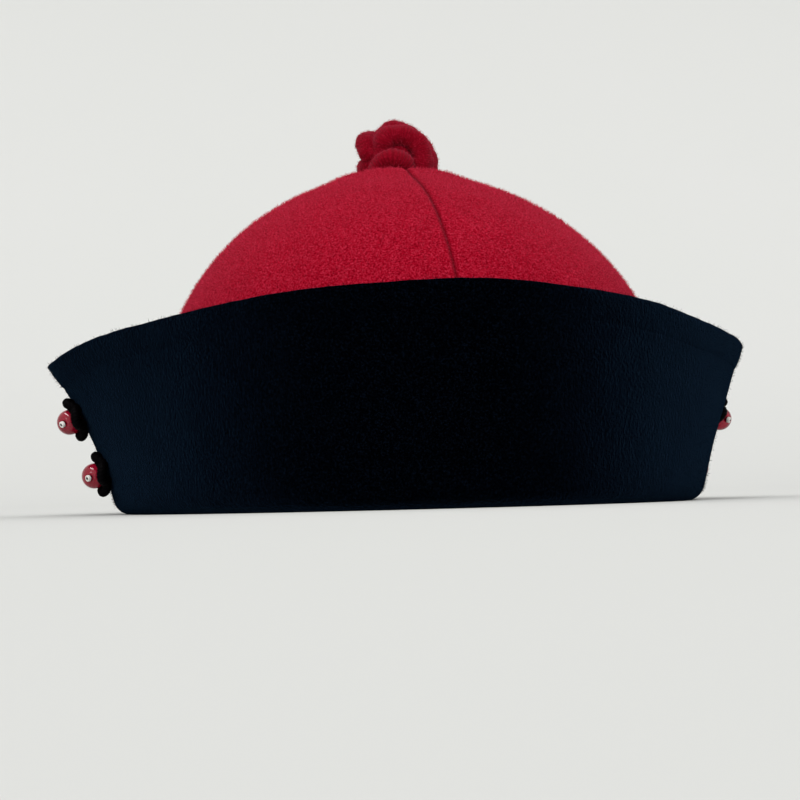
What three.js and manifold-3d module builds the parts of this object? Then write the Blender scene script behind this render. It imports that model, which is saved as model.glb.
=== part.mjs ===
// An upturned-brim felt hat: a red four-gore crown, a black felt brim turned up as a flared cuff,
// a ribbon sweatband, a ball knot on the apex, and two corded bead ornaments on each side.
// Millimetres, +Z up. The hat rests on the floor at z = 0 on its rolled foot, its front faces -Y,
// and left and right are the wearer's, so the left side is at +X.
import * as THREE from "three";
import { mergeVertices } from "three/addons/utils/BufferGeometryUtils.js";
import Module from "manifold-3d";

const wasm = await Module();
wasm.setup();

// Driving dimensions.
const GAP = 0.3; // air between two pieces that touch
const HEAD_HALF_WIDTH = 82.5; // head opening, between the felt faces
const HEAD_HALF_LENGTH = 98.5;
const BRIM_FELT = 2.6;
const CROWN_FELT = 2.2;

// The brim's section: a short lip round the head, a flat foot, an outward roll, then the cuff.
const LIP_HEIGHT = 9;
const LIP_RADIUS = 3;
const ROLL_RADIUS = 5.5;
const FLARE_START = 0.75; // share of the cuff's lean that it already has where it leaves the roll
const FLARE_SWING = 0.25; // the left side starts straighter than that, the right side steeper
const FLARE_PULL = 0.5; // share of the cuff's slant along which that first lean lasts

// The brim's shape, a row for each section. at: its azimuth, from the front (0) to the side (90);
// the back mirrors the front. Out: the top edge's distance outside the head opening. Top: that
// edge's height above the floor. Foot: width of the flat foot. The two sides differ: the right one
// is pinched further out, hangs lower and has a wider foot than the left one.
const BRIM_SECTIONS = [
  { at: 0, rightOut: 22, rightTop: 61.5, rightFoot: 4, leftOut: 22, leftTop: 61.5, leftFoot: 4 },
  { at: 15, rightOut: 19.5, rightTop: 61.5, rightFoot: 4, leftOut: 19.5, leftTop: 59.5, leftFoot: 4 },
  { at: 30, rightOut: 18, rightTop: 60.5, rightFoot: 4, leftOut: 17.5, leftTop: 57, leftFoot: 3.3 },
  { at: 45, rightOut: 18, rightTop: 58.2, rightFoot: 4, leftOut: 17, leftTop: 53.5, leftFoot: 2.4 },
  { at: 60, rightOut: 20.5, rightTop: 55.8, rightFoot: 4.5, leftOut: 18.5, leftTop: 51.5, leftFoot: 1.5 },
  { at: 75, rightOut: 27, rightTop: 52.8, rightFoot: 5.4, leftOut: 23, leftTop: 50, leftFoot: 0.8 },
  { at: 90, rightOut: 34.8, rightTop: 47.8, rightFoot: 6, leftOut: 28.5, leftTop: 50.5, leftFoot: 0.5 },
];

// The crown's outline: height^HEIGHT_POWER + spread^SPREAD_POWER = 1.
const CROWN_HEIGHT = 108;
const HEIGHT_POWER = 2.65;
const SPREAD_POWER = 1.9;
const CROWN_LEAN = 3.5; // the apex stands this far towards the right
const GORE_BULGE = 1.2; // how far a gore swells between its seams
const SEAM_DEPTH = 0.7; // how far the felt dips at a seam
const SEAM_REACH = 4;
const APEX_HOLE = 2.6; // radius of the hole that the knot's tail goes through
const DIMPLE_DEPTH = 3; // the knot draws the apex down
const DIMPLE_FLOOR = 4; // radius of its flat bottom
const DIMPLE_RADIUS = 17;

const BAND_THICKNESS = 1;
const BAND_BOTTOM = 3;
const BAND_TOP = 28;
const BAND_LEAN = 2.1; // the ribbon's top edge lies this much further in than its bottom edge

// The ball knot: one fabric tube, pressed a little flat, woven round a flattened ball.
const KNOT_TUBE_HALF_WIDTH = 4.8;
const KNOT_TUBE_HALF_THICKNESS = 4.2;
const KNOT_HALF_WIDTH = 15;
const KNOT_HALF_HEIGHT = 9.4;
const KNOT_CORE_HALF_HEIGHT = 6.5; // the middle that the strands close round
const KNOT_LEADS = 3;
const KNOT_BIGHTS = 4;
const KNOT_REACH = 62; // degrees of latitude that each bight reaches
const KNOT_WEAVE = 1.6; // how far a strand rises over, or dips under, its neighbour
const KNOT_START = 16; // degrees round the ball at which the strand's run begins
const KNOT_TILT = -25; // the ball lies tipped back
const KNOT_TURN = -10; // and turned a little to the right
const KNOT_TAIL_RADIUS = 2.1;
const KNOT_TAIL_LENGTH = 11;
const KNOT_LIFT = 0.6; // air under the knot, so that its lobes clear the dimple's slope

// A side ornament: a cord laid in four lobes round a bead.
const CORD_RADIUS = 1.45;
const ORNAMENT_RADIUS = 5.5;
const ORNAMENT_LOBE = 0.4;
const ORNAMENT_LOBES = 4;
const ORNAMENT_LIFT = 0.5; // air between the cord and the curved cuff
const BEAD_RADIUS = 4;
const BEAD_LIFT = BEAD_RADIUS + GAP + 0.1; // bead's centre above the felt
const BEAD_HOLE = 0.6;
const STOPPER_RADIUS = 1.1;
const STOPPER_HOLE = 0.4;

// A row for each ornament. height: of its middle, above the floor. turn and droop: degrees that its
// bead's thread hole leans from straight out, towards the front and down.
const ORNAMENTS = [
  { name: "right_upper", azimuth: 273.3, height: 32, turn: 58, droop: -4 },
  { name: "right_lower", azimuth: 275, height: 14, turn: 62, droop: 2 },
  { name: "left_upper", azimuth: 91.3, height: 29, turn: 68, droop: 0 },
  { name: "left_lower", azimuth: 93.5, height: 12.5, turn: 78, droop: 0 },
];

// Facets.
const RING_STEPS = 64;
const CUFF_STEPS = 7;
const GORE_STEPS = 9;
const MERIDIAN_STEPS = 12;
const KNOT_STEPS = 64;
const KNOT_STRETCH_STEPS = 8;
const CORD_STEPS = 40;

const RED_FELT = { color: 0xa81c2c, roughness: 0.95, metalness: 0 };
const BLACK_FELT = { color: 0x0b0d12, roughness: 0.95, metalness: 0 };
const RED_KNIT = { color: 0x96162a, roughness: 0.9, metalness: 0 };
const TAUPE_RIBBON = { color: 0x8f8677, roughness: 0.8, metalness: 0 };
const BLACK_CORD = { color: 0x08080a, roughness: 0.8, metalness: 0 };
const RED_GLASS = { color: 0xa3122a, roughness: 0.08, metalness: 0 };
const WHITE_GLASS = { color: 0xe8e6e0, roughness: 0.15, metalness: 0 };

const radians = THREE.MathUtils.degToRad;
const hat = new THREE.Group();

function addPiece(name, geometry, look) {
  const piece = new THREE.Mesh(geometry, new THREE.MeshStandardMaterial(look));
  piece.name = name;
  hat.add(piece);
  return piece;
}

// A point outside the head opening by "out", at an azimuth measured from the front towards +X.
function headPoint(azimuth, out, height) {
  const angle = radians(azimuth);
  const edge = new THREE.Vector3(
    HEAD_HALF_WIDTH * Math.sin(angle),
    -HEAD_HALF_LENGTH * Math.cos(angle),
    height,
  );
  return edge.addScaledVector(headOutward(azimuth), out);
}

function headOutward(azimuth) {
  const angle = radians(azimuth);
  return new THREE.Vector3(
    Math.sin(angle) / HEAD_HALF_WIDTH,
    -Math.cos(angle) / HEAD_HALF_LENGTH,
    0,
  ).normalize();
}

// A ring whose section, a closed loop of [out, height] pairs given by sectionAt(azimuth),
// runs round the head opening.
function ringGeometry(sectionAt) {
  const positions = [];
  const index = [];
  const corners = sectionAt(0).length;
  for (let step = 0; step < RING_STEPS; step++) {
    const azimuth = (360 * step) / RING_STEPS;
    for (const [out, height] of sectionAt(azimuth))
      positions.push(...headPoint(azimuth, out, height));
    const next = (step + 1) % RING_STEPS;
    for (let corner = 0; corner < corners; corner++) {
      const after = (corner + 1) % corners;
      const a = step * corners + corner;
      const b = step * corners + after;
      const c = next * corners + after;
      const d = next * corners + corner;
      index.push(a, c, b, a, d, c);
    }
  }
  return indexedGeometry(positions, index);
}

// A wall between two skins, each a grid of points: skinAt(across, up) gives [outer, inner].
function wallGeometry(skinAt, acrossSteps, upSteps) {
  const positions = [];
  const index = [];
  const rows = upSteps + 1;
  const skinSize = (acrossSteps + 1) * rows;
  const at = (skin, across, up) => skin * skinSize + across * rows + up;
  for (const skin of [0, 1])
    for (let across = 0; across <= acrossSteps; across++)
      for (let up = 0; up <= upSteps; up++)
        positions.push(...skinAt(across / acrossSteps, up / upSteps)[skin]);
  const quad = (a, b, c, d) => index.push(at(...a), at(...b), at(...c), at(...a), at(...c), at(...d));
  for (let i = 0; i < acrossSteps; i++)
    for (let k = 0; k < upSteps; k++) {
      quad([0, i, k], [0, i + 1, k], [0, i + 1, k + 1], [0, i, k + 1]);
      quad([1, i, k], [1, i, k + 1], [1, i + 1, k + 1], [1, i + 1, k]);
    }
  for (let i = 0; i < acrossSteps; i++) {
    quad([0, i, 0], [1, i, 0], [1, i + 1, 0], [0, i + 1, 0]);
    quad([0, i, upSteps], [0, i + 1, upSteps], [1, i + 1, upSteps], [1, i, upSteps]);
  }
  for (let k = 0; k < upSteps; k++) {
    quad([0, 0, k], [0, 0, k + 1], [1, 0, k + 1], [1, 0, k]);
    quad([0, acrossSteps, k], [1, acrossSteps, k], [1, acrossSteps, k + 1], [0, acrossSteps, k + 1]);
  }
  return indexedGeometry(positions, index);
}

function indexedGeometry(positions, index) {
  const geometry = new THREE.BufferGeometry();
  geometry.setAttribute("position", new THREE.Float32BufferAttribute(positions, 3));
  geometry.setIndex(index);
  geometry.computeVertexNormals();
  return geometry;
}

// ---- Brim ----

// The rows as a closed curve through (out, top, foot), once round: left front, left back, right
// back, right front.
function sectionCurve() {
  const rows = BRIM_SECTIONS;
  const left = rows.map((row) => new THREE.Vector3(row.leftOut, row.leftTop, row.leftFoot));
  const right = rows.map((row) => new THREE.Vector3(row.rightOut, row.rightTop, row.rightFoot));
  const leftHalf = [...left, ...left.slice(1, -1).reverse()];
  const rightHalf = [...right, ...right.slice(1, -1).reverse()];
  return new THREE.CatmullRomCurve3([...leftHalf, ...rightHalf], true, "catmullrom", 0.5);
}

const SECTION_CURVE = sectionCurve();

// The middle line of the brim's felt at an azimuth, from the lip's top to the cuff's top edge.
function brimMiddle(azimuth) {
  const half = BRIM_FELT / 2;
  const { x: rimOut, y: rimHeight, z: foot } = SECTION_CURVE.getPoint(azimuth / 360);
  const lipBend = LIP_RADIUS - half;
  const rollBend = ROLL_RADIUS - half;
  const rollCentre = LIP_RADIUS + foot;
  const lean = Math.atan2(rimOut - rollCentre - ROLL_RADIUS, rimHeight - ROLL_RADIUS);
  const firstLean = lean * (FLARE_START + FLARE_SWING * Math.sin(radians(azimuth)));
  const line = [new THREE.Vector2(half, LIP_HEIGHT)];
  for (const turn of [180, 210, 240, 270])
    line.push(arcPoint(LIP_RADIUS, LIP_RADIUS, lipBend, radians(turn)));
  for (const share of [0, 0.25, 0.5, 0.75, 1]) {
    const turn = -Math.PI / 2 + share * (Math.PI / 2 - firstLean);
    line.push(arcPoint(rollCentre, ROLL_RADIUS, rollBend, turn));
  }
  const start = line[line.length - 1];
  const end = new THREE.Vector2(rimOut - half, rimHeight);
  const pull = start.distanceTo(end) * FLARE_PULL;
  const bend = new THREE.Vector2(Math.sin(firstLean), Math.cos(firstLean)).multiplyScalar(pull).add(start);
  const cuff = new THREE.QuadraticBezierCurve(start, bend, end);
  return [...line, ...cuff.getPoints(CUFF_STEPS).slice(1)];
}

function arcPoint(centreOut, centreHeight, radius, angle) {
  return new THREE.Vector2(centreOut + radius * Math.cos(angle), centreHeight + radius * Math.sin(angle));
}

// The direction across the felt, away from the head, at each point of the middle line.
function brimAcross(line) {
  return line.map((point, i) => {
    const before = line[Math.max(i - 1, 0)];
    const after = line[Math.min(i + 1, line.length - 1)];
    const along = after.clone().sub(before).normalize();
    return new THREE.Vector2(along.y, -along.x);
  });
}

function brimSection(azimuth) {
  const half = BRIM_FELT / 2;
  const line = brimMiddle(azimuth);
  const across = brimAcross(line);
  const skin = (side) => line.map((p, i) => p.clone().addScaledVector(across[i], side * half));
  // The foot's outer face is flat on the floor.
  const outer = skin(1).map((p) => [p.x, Math.max(p.y, 0)]);
  const inner = skin(-1).map((p) => [p.x, p.y]);
  return [...outer, ...inner.reverse()];
}

// The place on the cuff's outer face at a height: its point, outward normal and upward tangent.
function cuffPlace(azimuth, height) {
  const line = brimMiddle(azimuth);
  const across = brimAcross(line);
  const i = line.findIndex((p, n) => p.x > ROLL_RADIUS && p.y > height && line[n - 1].y <= height);
  const share = (height - line[i - 1].y) / (line[i].y - line[i - 1].y);
  const middle = line[i - 1].clone().lerp(line[i], share);
  const normal = across[i - 1].clone().lerp(across[i], share).normalize();
  middle.addScaledVector(normal, BRIM_FELT / 2);
  const outward = headOutward(azimuth);
  const up = new THREE.Vector3(0, 0, 1);
  return {
    point: headPoint(azimuth, middle.x, middle.y),
    normal: outward.clone().multiplyScalar(normal.x).addScaledVector(up, normal.y),
  };
}

addPiece("brim", ringGeometry(brimSection), BLACK_FELT);

// ---- Sweatband ----

function bandSection() {
  return [
    [-GAP, BAND_BOTTOM],
    [-GAP - BAND_LEAN, BAND_TOP],
    [-GAP - BAND_LEAN - BAND_THICKNESS, BAND_TOP],
    [-GAP - BAND_THICKNESS, BAND_BOTTOM],
  ];
}

addPiece("sweatband", ringGeometry(bandSection), TAUPE_RIBBON);

// ---- Crown ----

const CROWN_BASE = LIP_HEIGHT + GAP;
const CROWN_OUT = BRIM_FELT - (BRIM_FELT - CROWN_FELT) / 2; // crown's outer face at its base
const CROWN_HALF_WIDTH = HEAD_HALF_WIDTH + CROWN_OUT;
const CROWN_HALF_LENGTH = HEAD_HALF_LENGTH + CROWN_OUT;

// The outer face at an azimuth, and at a climb from 0 at the floor to 90 at the apex.
function crownPoint(azimuth, climb) {
  const spread = Math.cos(radians(climb)) ** (2 / SPREAD_POWER);
  const height = CROWN_HEIGHT * Math.sin(radians(climb)) ** (2 / HEIGHT_POWER);
  const angle = radians(azimuth);
  const point = new THREE.Vector3(
    CROWN_HALF_WIDTH * spread * Math.sin(angle),
    -CROWN_HALF_LENGTH * spread * Math.cos(angle),
    height,
  );
  const radius = Math.hypot(point.x, point.y);
  const toSeam = radius * Math.abs(Math.sin(2 * angle) / 2);
  const seam = SEAM_DEPTH * Math.exp(-((toSeam / SEAM_REACH) ** 2)) * Math.min(spread * 3, 1);
  const swell = GORE_BULGE * Math.sin(2 * angle) ** 2 * Math.sin(radians(2 * climb));
  const outward = new THREE.Vector3(point.x / radius, point.y / radius, height / CROWN_HEIGHT).normalize();
  point.addScaledVector(outward, swell - seam);
  point.x -= CROWN_LEAN * (height / CROWN_HEIGHT) ** 2;
  point.z -= DIMPLE_DEPTH * (1 - THREE.MathUtils.smoothstep(radius, DIMPLE_FLOOR, DIMPLE_RADIUS));
  return point;
}

function crownNormal(azimuth, climb) {
  const step = 0.2;
  const round = crownPoint(azimuth + step, climb).sub(crownPoint(azimuth - step, climb));
  const rise = crownPoint(azimuth, climb + step).sub(crownPoint(azimuth, climb - step));
  return round.cross(rise).normalize();
}

// The climbs at the crown's base and at the edge of the apex hole.
const FIRST_CLIMB = THREE.MathUtils.radToDeg(Math.asin((CROWN_BASE / CROWN_HEIGHT) ** (HEIGHT_POWER / 2)));
const HOLE_SPREAD = APEX_HOLE / CROWN_HALF_WIDTH;
const LAST_CLIMB = THREE.MathUtils.radToDeg(Math.acos(HOLE_SPREAD ** (SPREAD_POWER / 2)));

function goreSkins(firstAzimuth) {
  return (across, up) => {
    const climb = FIRST_CLIMB + up * (LAST_CLIMB - FIRST_CLIMB);
    const spread = Math.cos(radians(climb)) ** (2 / SPREAD_POWER);
    const edge = THREE.MathUtils.radToDeg(GAP / 2 / (CROWN_HALF_WIDTH * spread));
    const azimuth = firstAzimuth + edge + across * (90 - 2 * edge);
    const outer = crownPoint(azimuth, climb);
    const inner = outer.clone().addScaledVector(crownNormal(azimuth, climb), -CROWN_FELT);
    if (up === 0) {
      inner.z = CROWN_BASE;
      outer.z = CROWN_BASE;
    }
    return [outer, inner];
  };
}

const GORES = { front_left: 0, back_left: 90, back_right: 180, front_right: 270 };
for (const [side, firstAzimuth] of Object.entries(GORES))
  addPiece("crown_" + side, wallGeometry(goreSkins(firstAzimuth), GORE_STEPS, MERIDIAN_STEPS), RED_FELT);

// ---- Knot ----

function manifoldOf(geometry) {
  const bare = new THREE.BufferGeometry();
  bare.setAttribute("position", geometry.getAttribute("position"));
  if (geometry.index) bare.setIndex(geometry.index);
  const merged = mergeVertices(bare, 1e-4);
  return new wasm.Manifold(
    new wasm.Mesh({
      numProp: 3,
      vertProperties: merged.attributes.position.array,
      triVerts: new Uint32Array(merged.index.array),
    }),
  );
}

function geometryOf(solid) {
  const mesh = solid.getMesh();
  return indexedGeometry(Array.from(mesh.vertProperties), Array.from(mesh.triVerts));
}

// The outline of a strand that is rx thick along its curve's normal and ry across it, as a shape.
function strandShape(rx, ry, sides) {
  const corners = [];
  for (let side = 0; side < sides; side++) {
    const angle = (2 * Math.PI * side) / sides;
    corners.push(new THREE.Vector2(rx * Math.cos(angle), ry * Math.sin(angle)));
  }
  return new THREE.Shape(corners);
}

// The strand's middle, at a share of its whole run, round a ball at the origin: it circles the ball
// KNOT_LEADS times while it swings KNOT_BIGHTS times between the poles, over and under by turns.
function knotPoint(share) {
  const round = 2 * Math.PI * KNOT_LEADS * share + radians(KNOT_START);
  const swing = 2 * Math.PI * KNOT_BIGHTS * share;
  const latitude = radians(KNOT_REACH) * Math.sin(swing);
  const weave = -KNOT_WEAVE * Math.sin(2 * swing);
  const wide = KNOT_HALF_WIDTH - KNOT_TUBE_HALF_THICKNESS - KNOT_WEAVE + weave;
  const tall = (KNOT_HALF_HEIGHT - KNOT_TUBE_HALF_THICKNESS) / Math.sin(radians(KNOT_REACH)) + weave / 2;
  return new THREE.Vector3(
    wide * Math.cos(latitude) * Math.sin(round),
    -wide * Math.cos(latitude) * Math.cos(round),
    tall * Math.sin(latitude),
  );
}

// A stretch of the strand. Its flat side faces out from the ball, and neighbouring stretches share
// their points exactly, so that they join without a step.
class KnotStretch extends THREE.Curve {
  constructor(first, last) {
    super();
    this.first = first;
    this.last = last;
  }
  share(t) {
    return this.first + t * (this.last - this.first);
  }
  getUtoTmapping(u) {
    return u;
  }
  getPoint(t) {
    return knotPoint(this.share(t));
  }
  getTangent(t) {
    const share = this.share(t);
    return knotPoint(share + 1e-3).sub(knotPoint(share - 1e-3)).normalize();
  }
  computeFrenetFrames(segments) {
    const frames = { tangents: [], normals: [], binormals: [] };
    for (let i = 0; i <= segments; i++) {
      const tangent = this.getTangent(i / segments);
      const binormal = new THREE.Vector3().crossVectors(tangent, this.getPoint(i / segments)).normalize();
      frames.tangents.push(tangent);
      frames.binormals.push(binormal);
      frames.normals.push(new THREE.Vector3().crossVectors(binormal, tangent));
    }
    return frames;
  }
}

const APEX = CROWN_HEIGHT - DIMPLE_DEPTH;

function knotGeometry() {
  const section = strandShape(KNOT_TUBE_HALF_THICKNESS, KNOT_TUBE_HALF_WIDTH, 10);
  const core = new THREE.SphereGeometry(1, 16, 10);
  const coreHalfWidth = KNOT_HALF_WIDTH - KNOT_TUBE_HALF_THICKNESS;
  core.scale(coreHalfWidth, coreHalfWidth, KNOT_CORE_HALF_HEIGHT);
  let ball = manifoldOf(core);
  for (let first = 0; first < KNOT_STEPS; first += KNOT_STRETCH_STEPS) {
    const steps = KNOT_STRETCH_STEPS + 1;
    const extrudePath = new KnotStretch(first / KNOT_STEPS, (first + steps) / KNOT_STEPS);
    const stretch = new THREE.ExtrudeGeometry(section, { steps, extrudePath, bevelEnabled: false });
    ball = ball.add(manifoldOf(stretch));
  }
  const lying = geometryOf(ball).rotateX(radians(KNOT_TILT)).rotateZ(radians(KNOT_TURN));
  lying.computeBoundingBox();
  lying.translate(0, 0, APEX + KNOT_LIFT - lying.boundingBox.min.z);
  const tail = new THREE.CylinderGeometry(KNOT_TAIL_RADIUS, KNOT_TAIL_RADIUS, KNOT_TAIL_LENGTH, 12);
  tail.rotateX(Math.PI / 2);
  tail.translate(0, 0, APEX - CROWN_FELT);
  // Pockets closed in between the strands are skins of negative volume, which are left out.
  const skins = manifoldOf(lying).add(manifoldOf(tail)).decompose();
  return geometryOf(skins.find((skin) => skin.volume() > 0));
}

const knot = addPiece("top_knot", knotGeometry(), RED_KNIT);
knot.position.x = -CROWN_LEAN * (APEX / CROWN_HEIGHT) ** 2;

// ---- Side ornaments ----

// The cord of one ornament, lying in the plane z = 0 round the origin.
function ornamentCurve() {
  const points = [];
  const count = 24;
  const ends = (CORD_RADIUS * 2 + GAP) / ORNAMENT_RADIUS / 2;
  for (let i = 0; i <= count; i++) {
    const angle = Math.PI / 4 + ends + (i / count) * (2 * Math.PI - 2 * ends);
    const radius = ORNAMENT_RADIUS + ORNAMENT_LOBE * Math.cos(ORNAMENT_LOBES * angle);
    points.push(new THREE.Vector3(radius * Math.cos(angle), radius * Math.sin(angle), 0));
  }
  return new THREE.CatmullRomCurve3(points);
}

function ornamentGeometry() {
  const section = strandShape(CORD_RADIUS, CORD_RADIUS, 8);
  const extrudePath = ornamentCurve();
  return new THREE.ExtrudeGeometry(section, { steps: CORD_STEPS, extrudePath, bevelEnabled: false });
}

// A ball with a thread hole along its Z axis.
function beadGeometry(radius, hole, ringSteps, arcSteps) {
  const profile = [];
  const first = Math.asin(hole / radius);
  for (let i = 0; i <= arcSteps; i++) {
    const angle = -Math.PI / 2 + first + (i / arcSteps) * (Math.PI - 2 * first);
    profile.push(new THREE.Vector2(radius * Math.cos(angle), radius * Math.sin(angle)));
  }
  profile.push(profile[0].clone());
  return new THREE.LatheGeometry(profile, ringSteps).rotateX(Math.PI / 2);
}

for (const row of ORNAMENTS) {
  const place = cuffPlace(row.azimuth, row.height);
  const front = new THREE.Vector3(0, -1, 0);
  const up = new THREE.Vector3().crossVectors(place.normal, front).normalize();
  if (up.z < 0) up.negate();
  const side = new THREE.Vector3().crossVectors(up, place.normal);
  const lying = new THREE.Matrix4().makeBasis(side, up, place.normal);

  const cord = addPiece("ornament_" + row.name, ornamentGeometry(), BLACK_CORD);
  cord.quaternion.setFromRotationMatrix(lying);
  cord.position.copy(place.point).addScaledVector(place.normal, ORNAMENT_LIFT + CORD_RADIUS);

  const centre = place.point.clone().addScaledVector(place.normal, BEAD_LIFT);
  const axis = place.normal.clone().multiplyScalar(Math.cos(radians(row.turn)));
  axis.addScaledVector(front, Math.sin(radians(row.turn)));
  axis.addScaledVector(up, -Math.sin(radians(row.droop))).normalize();
  const threaded = new THREE.Quaternion().setFromUnitVectors(new THREE.Vector3(0, 0, 1), axis);

  const bead = addPiece("bead_" + row.name, beadGeometry(BEAD_RADIUS, BEAD_HOLE, 22, 12), RED_GLASS);
  bead.quaternion.copy(threaded);
  bead.position.copy(centre);

  const seed = beadGeometry(STOPPER_RADIUS, STOPPER_HOLE, 12, 6);
  const stopper = addPiece("stopper_" + row.name, seed, WHITE_GLASS);
  stopper.quaternion.copy(threaded);
  stopper.position.copy(centre).addScaledVector(axis, BEAD_RADIUS + GAP + STOPPER_RADIUS);
}

// The origin is the middle of the hat's box, on the floor.
const box = new THREE.Box3().setFromObject(hat, true);
hat.position.x = -(box.min.x + box.max.x) / 2;

export default hat;
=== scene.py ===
# %% Load the frame
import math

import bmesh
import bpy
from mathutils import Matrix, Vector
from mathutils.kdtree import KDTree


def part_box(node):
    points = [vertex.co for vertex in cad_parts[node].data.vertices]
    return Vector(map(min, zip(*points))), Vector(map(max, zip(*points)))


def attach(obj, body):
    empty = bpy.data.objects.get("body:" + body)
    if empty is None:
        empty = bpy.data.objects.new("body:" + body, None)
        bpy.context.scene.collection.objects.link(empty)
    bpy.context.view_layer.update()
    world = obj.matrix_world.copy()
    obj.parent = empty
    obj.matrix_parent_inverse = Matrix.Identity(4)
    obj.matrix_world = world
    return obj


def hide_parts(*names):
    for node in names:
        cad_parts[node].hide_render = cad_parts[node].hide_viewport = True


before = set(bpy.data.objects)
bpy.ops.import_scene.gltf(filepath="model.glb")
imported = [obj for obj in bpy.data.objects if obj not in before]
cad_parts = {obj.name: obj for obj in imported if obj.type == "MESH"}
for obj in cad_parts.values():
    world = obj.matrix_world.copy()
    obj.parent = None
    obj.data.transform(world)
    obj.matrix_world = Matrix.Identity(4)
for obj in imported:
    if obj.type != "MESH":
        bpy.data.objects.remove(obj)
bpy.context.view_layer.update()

# %% [markdown]
# # An upturned-brim felt hat
# The hat has a domed crown of four red felt gores, and a black felt brim that is turned up all
# round as a tall flared cuff. A taupe ribbon lines the head opening, a ball knot of red knitted
# tube sits on the apex, and each side of the cuff carries two red glass beads on loops of cord.
#
# The frame gives the place and size of every piece in metres. The hat rests on the floor at
# z = 0, its front faces -Y, and left and right are the wearer's, so the left side is at +X. The
# sizes of the hat are in millimetres here, and MM turns them into the frame's metres.

MM = 0.001
# Points closer together than this, in metres, are one point.
SAME_SPOT = 0.000001
low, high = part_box("sweatband")
HEAD = Vector(((low[0] + high[0]) / 2, 0, 0))
print("the middle of the head opening is at", [round(v, 4) for v in HEAD])

# %% [markdown]
# ## The stage
# A plain pale floor that curves up into a wall has no horizon line, so nothing competes with the
# hat. It starts as one plane. Its far edge is extruded upwards, and a wide bevel on the fold
# makes the curve. The soft light is one wide lamp above the front, two weaker ones at the sides,
# and a pale world that fills the shadows. A long strip overhead is there for the glass beads: its
# narrow reflection is what makes them look hard and wet, so it lights nothing but gloss.
#
# An operator acts on everything that is selected. So each piece is begun with nothing else
# selected, and its vertices, edges or faces are then chosen in code, by their place or normal.

# %% Begin a piece


def begin(add, name, **settings):
    """Adds a primitive with nothing else selected, names it and opens it in edit mode."""
    bpy.ops.object.select_all(action="DESELECT")
    add(**settings)
    piece = bpy.context.object
    piece.name = name
    bpy.ops.object.mode_set(mode="EDIT")
    bpy.ops.mesh.select_mode(type="VERT")
    return piece


# %% Choose what an operator acts on


def choose(piece, kind, test):
    """Selects the vertices, edges or faces that pass the test, in edit mode, and counts them."""
    bpy.ops.mesh.select_mode(type=kind)
    bpy.ops.mesh.select_all(action="DESELECT")
    shape = bmesh.from_edit_mesh(piece.data)
    parts = {"VERT": shape.verts, "EDGE": shape.edges, "FACE": shape.faces}[kind]
    count = 0
    for part in parts:
        if test(part):
            part.select_set(True)
            count += 1
    shape.select_flush_mode()
    bmesh.update_edit_mesh(piece.data)
    return count


# %% Close a piece and measure it


def only(piece):
    """Makes the piece the one that is selected and active."""
    bpy.ops.object.select_all(action="DESELECT")
    piece.select_set(True)
    bpy.context.view_layer.objects.active = piece


def apply_modifiers(piece):
    """Applies the piece's modifiers in their order."""
    only(piece)
    for modifier in list(piece.modifiers):
        bpy.ops.object.modifier_apply(modifier=modifier.name)


def report(piece):
    """Prints the piece's size in millimetres and how many faces it has."""
    spots = [v.co for v in piece.data.vertices]
    size = [(max(p[i] for p in spots) - min(p[i] for p in spots)) / MM for i in range(3)]
    print(piece.name, "is", [round(s, 1) for s in size], "mm,", len(piece.data.polygons), "faces")


# %% The floor and its curved wall, in metres
FLOOR_WIDTH = 9
FLOOR_LENGTH = 6
FLOOR_SHIFT = -0.6
FAR_EDGE = FLOOR_LENGTH / 2 + FLOOR_SHIFT
WALL_HEIGHT = 4
WALL_CURVE = 1.4
FLOOR_SLACK = 0.1


def at_far_edge(edge):
    return all(v.co.y > FAR_EDGE - FLOOR_SLACK for v in edge.verts)


def at_fold(edge):
    return at_far_edge(edge) and all(v.co.z < FLOOR_SLACK for v in edge.verts)


backdrop = begin(bpy.ops.mesh.primitive_plane_add, "backdrop", size=1, location=(0, 0, 0))
bpy.ops.transform.resize(value=(FLOOR_WIDTH, FLOOR_LENGTH, 1))
bpy.ops.transform.translate(value=(0, FLOOR_SHIFT, 0))
choose(backdrop, "EDGE", at_far_edge)
bpy.ops.mesh.extrude_region_move(TRANSFORM_OT_translate={"value": (0, 0, WALL_HEIGHT)})
choose(backdrop, "EDGE", at_fold)
bpy.ops.mesh.bevel(offset=WALL_CURVE, segments=24, affect="EDGES")
bpy.ops.object.mode_set(mode="OBJECT")
bpy.ops.object.shade_smooth()
report(backdrop)

# %% [markdown]
# ## The camera and the light
# The camera stands 650 mm from the hat, ten degrees round towards the wearer's right, and just
# above the floor. It tilts up a little, and leans by a degree and a half. A long lens with no
# depth of field keeps every edge sharp.

# %% Camera
CAMERA_DISTANCE = 650 * MM
CAMERA_HEIGHT = 5 * MM
CAMERA_AZIMUTH = math.radians(-10)
CAMERA_TILT = math.radians(2.63)
CAMERA_LEAN = math.radians(1.5)
CAMERA_PAN = math.radians(-9.87)
camera_data = bpy.data.cameras.new("camera")
camera_data.lens = 89.7
camera_data.clip_start = 0.01
camera = bpy.data.objects.new("camera", camera_data)
bpy.context.scene.collection.objects.link(camera)
camera.location = (
    CAMERA_DISTANCE * math.sin(CAMERA_AZIMUTH),
    -CAMERA_DISTANCE * math.cos(CAMERA_AZIMUTH),
    CAMERA_HEIGHT,
)
camera.rotation_euler = (math.radians(90) + CAMERA_TILT, CAMERA_LEAN, CAMERA_PAN)
bpy.context.scene.camera = camera
print("the camera stands at", [round(v, 3) for v in camera.location])

# %% Lamps
LIT_POINT = Vector((0, 0, 0.06))


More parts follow.
